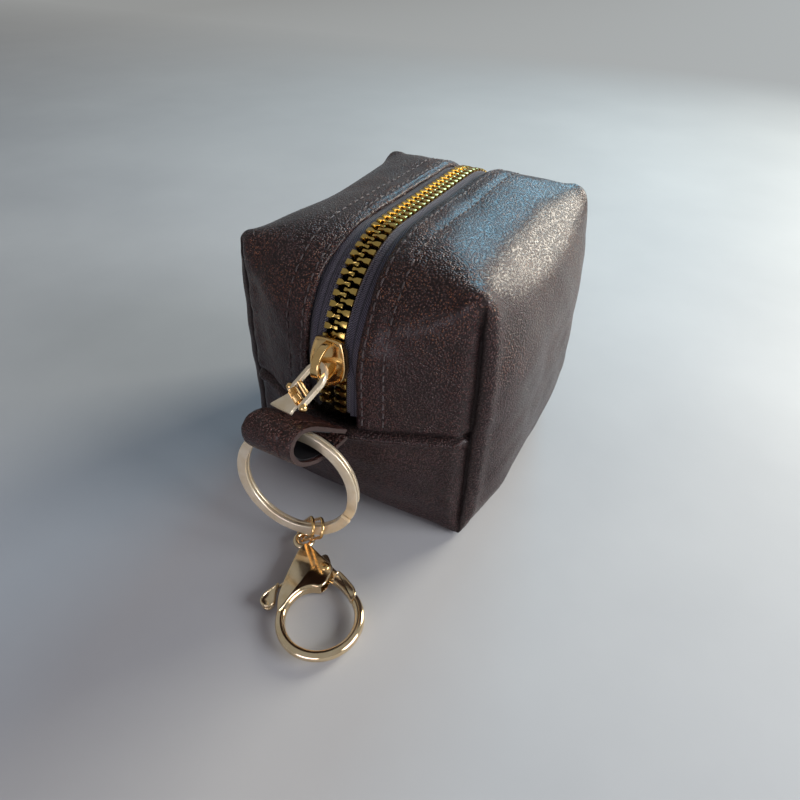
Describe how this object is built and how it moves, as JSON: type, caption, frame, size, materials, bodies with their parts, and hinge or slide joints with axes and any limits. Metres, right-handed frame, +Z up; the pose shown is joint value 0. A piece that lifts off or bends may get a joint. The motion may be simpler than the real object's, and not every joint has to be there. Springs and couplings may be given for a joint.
{
  "type": "zipper pouch keychain",
  "caption": "Small boxy leather pouch with a curved zipper over the top, a folded strap loop, a split key ring and a round trigger clasp.",
  "frame": {"origin": "centre of the pouch's flat base, on the surface it stands on", "axes": "+X across the pouch, -Y towards the end with the strap loop and clasp, +Z up"},
  "size_m": [0.083, 0.1441, 0.0826],
  "materials": {
    "aubergine_leather": "grained, satin",
    "brown_leather": "grained, satin",
    "black_backing": "matt",
    "navy_tape": "woven, matt",
    "brass": "polished",
    "pale_gold": "polished",
    "spring_steel": "drawn"
  },
  "bodies": {
    "pouch": {"main_panel": "aubergine_leather", "zipper_tape_left": "navy_tape", "zipper_tape_right": "navy_tape", "zipper_teeth_left": "brass", "zipper_teeth_right": "brass", "loop_strap": "brown_leather", "loop_lining": "black_backing"},
    "slider": {"slider_body": "pale_gold", "slider_crown": "pale_gold"},
    "pull": {"pull_link": "pale_gold", "pull_pin": "pale_gold"},
    "paddle": {"pull_paddle": "pale_gold"},
    "split_ring": {"key_ring": "pale_gold"},
    "jump_links": {"jump_ring_front": "pale_gold", "jump_ring_rear": "pale_gold"},
    "clasp": {"clasp_body": "pale_gold", "clasp_rivet": "pale_gold", "clasp_spring": "spring_steel"},
    "lever": {"clasp_lever": "pale_gold"}
  },
  "joints": [
    {"name": "slider_travel", "type": "hinge", "parent": "pouch", "child": "slider", "pos_m": [0, -0.0205, 0.0518], "axis": [1, 0, 0], "range_deg": [-80, 0], "deforming": ["zipper_teeth_left", "zipper_teeth_right"]},
    {"name": "pull_swing", "type": "hinge", "parent": "slider", "child": "pull", "pos_m": [0.0006, -0.05403, 0.05771], "axis": [0.8201, -0.5722, -0.0016], "range_deg": [-100, 0]},
    {"name": "paddle_turn", "type": "hinge", "parent": "pull", "child": "paddle", "pos_m": [-0.00343, -0.05979, 0.05119], "axis": [0.8201, -0.5722, -0.0016], "range_deg": [-60, 0]},
    {"name": "key_ring_swing", "type": "hinge", "parent": "pouch", "child": "split_ring", "pos_m": [-0.0036, -0.0615, 0.0427], "axis": [1, 0, 0], "range_deg": [-45, 12]},
    {"name": "links_swing", "type": "hinge", "parent": "split_ring", "child": "jump_links", "pos_m": [-0.00333, -0.06482, 0.01004], "axis": [0.9871, 0.16, 0], "range_deg": [-12, 12]},
    {"name": "clasp_tilt", "type": "hinge", "parent": "jump_links", "child": "clasp", "pos_m": [-0.0034, -0.0636, 0.0025], "axis": [0.7146, 0.6996, 0], "range_deg": [-8, 20]},
    {"name": "gate_open", "type": "hinge", "parent": "clasp", "child": "lever", "pos_m": [0.00738, -0.069, 0.0025], "axis": [0, 0, 1], "range_deg": [-22, 0], "stiffness_Nm_per_rad": 0.002, "springref_deg": 11.46}
  ]
}
